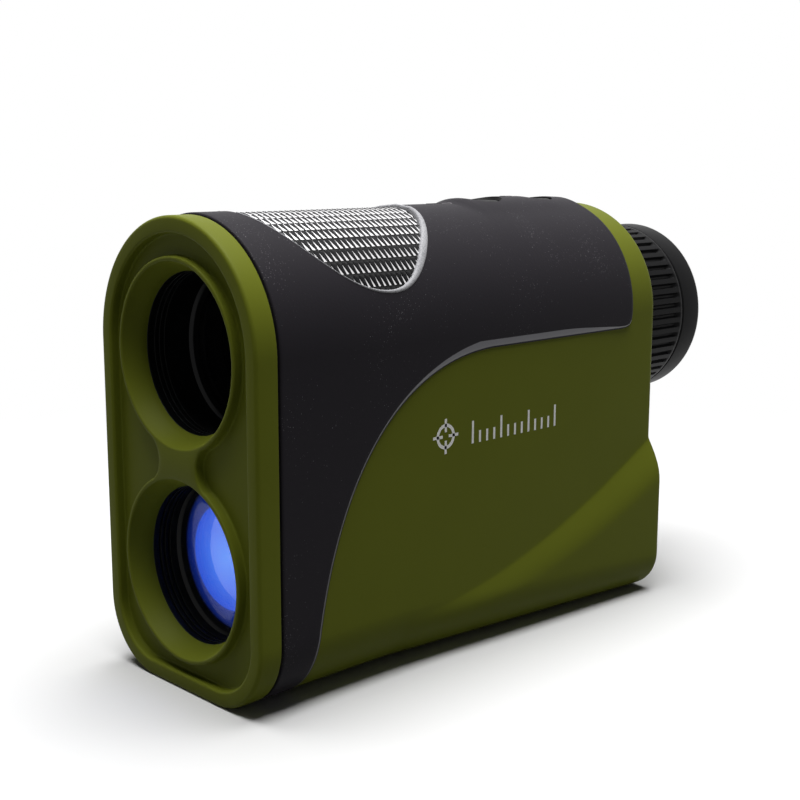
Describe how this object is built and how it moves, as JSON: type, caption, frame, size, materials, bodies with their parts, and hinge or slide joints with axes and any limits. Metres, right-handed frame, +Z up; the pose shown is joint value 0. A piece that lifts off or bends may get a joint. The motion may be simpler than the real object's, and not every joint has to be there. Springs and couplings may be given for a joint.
{
  "type": "laser rangefinder",
  "caption": "Handheld laser rangefinder: stacked lens windows, rubber grip cover, top buttons, turning ribbed eyepiece and a hinged battery door.",
  "frame": {"origin": "on the base plane, under the middle of the whole length and width", "axes": "+Y from the lens windows to the eyepiece, along the line of sight; +Z up, from the base to the buttons; +X to the right of a user who looks through the eyepiece from behind, away from the lanyard bar"},
  "size_m": [0.045, 0.1146, 0.0753],
  "materials": {
    "green_plastic": "olive green moulded plastic with a fine matt texture",
    "grip_rubber": "charcoal soft-touch rubber, matt",
    "eyecup_rubber": "black rubber, satin",
    "seal_rubber": "black rubber",
    "button_rubber": "black rubber, matt",
    "silver_pad": "silver finish over rows of small pyramids",
    "light_rim": "light grey grained plastic",
    "black_plastic": "black moulded plastic, satin",
    "white_plastic": "white acetal",
    "black_aluminium": "black anodised, matt",
    "steel": "plain steel",
    "contact_metal": "nickel plated",
    "gold_can": "gold plated",
    "coated_glass": "polished, coated",
    "filter_glass": "polished, blue infrared filter coating",
    "optical_glass": "polished",
    "display_glass": "liquid crystal panel",
    "circuit_board": "green solder mask",
    "chip_plastic": "moulded chip packages",
    "capacitor_sleeve": "printed sleeve",
    "flex_film": "polyimide film",
    "cell_jacket": "printed jacket"
  },
  "bodies": {
    "casing": {"front_bezel": "green_plastic", "front_gasket": "seal_rubber", "left_shell": "green_plastic", "right_shell": "green_plastic", "shell_screws": "steel", "grip_cover": "grip_rubber", "finger_pad": "silver_pad", "pad_rim": "light_rim", "objective_barrel": "black_aluminium", "objective_retainer": "black_aluminium", "objective_crown": "coated_glass", "objective_flint": "coated_glass", "receiver_barrel": "black_aluminium", "receiver_retainer": "black_aluminium", "receiver_lens": "filter_glass", "detector": "gold_can", "detector_board": "circuit_board", "prism_holder": "black_plastic", "prism_front": "optical_glass", "prism_rear": "optical_glass", "prism_clip": "steel", "laser_holder": "black_aluminium", "laser_lens": "optical_glass", "laser_diode": "gold_can", "display_holder": "black_plastic", "reticle_display": "display_glass", "flex_cable": "flex_film", "main_board": "circuit_board", "main_chips": "chip_plastic", "pulse_capacitor": "capacitor_sleeve", "board_screws": "steel", "button_board": "circuit_board", "switch_cases": "contact_metal", "battery_tray": "black_plastic", "battery_contact": "contact_metal", "battery_cell": "cell_jacket", "door_hinge_pin": "steel", "eyepiece_socket": "black_plastic", "socket_clip": "steel", "lanyard_bar": "steel"},
    "power_key": {"power_button": "button_rubber", "power_plunger": "white_plastic"},
    "mode_key": {"mode_button": "button_rubber", "mode_plunger": "white_plastic"},
    "door": {"battery_door": "green_plastic", "door_seal": "seal_rubber", "door_contact": "contact_metal"},
    "focus_ring": {"diopter_ring": "black_plastic", "eyecup": "eyecup_rubber"},
    "eye_cell": {"eyepiece_cell": "black_plastic", "field_lens": "optical_glass", "eye_lens": "coated_glass", "eye_lens_retainer": "black_plastic"}
  },
  "joints": [
    {"name": "power_press", "type": "slide", "parent": "casing", "child": "power_key", "axis": [0, 0, -1], "range_m": [0, 0.0008], "stiffness_N_per_m": 300},
    {"name": "mode_press", "type": "slide", "parent": "casing", "child": "mode_key", "axis": [0, 0, -1], "range_m": [0, 0.0008], "stiffness_N_per_m": 300},
    {"name": "door_swing", "type": "hinge", "parent": "casing", "child": "door", "pos_m": [0, 0.03595, 0.0054], "axis": [-1, 0, 0], "range_deg": [0, 95]},
    {"name": "diopter_turn", "type": "hinge", "parent": "casing", "child": "focus_ring", "pos_m": [0, 0.04375, 0.052], "axis": [0, 1, 0], "range_deg": [-140, 140]},
    {"name": "diopter_feed", "type": "slide", "parent": "casing", "child": "eye_cell", "axis": [0, 1, 0], "range_m": [-0.00155, 0.00155]}
  ],
  "couplings": [
    {"joint": "diopter_feed", "follows": "diopter_turn", "m_per_rad": 0.000614}
  ]
}
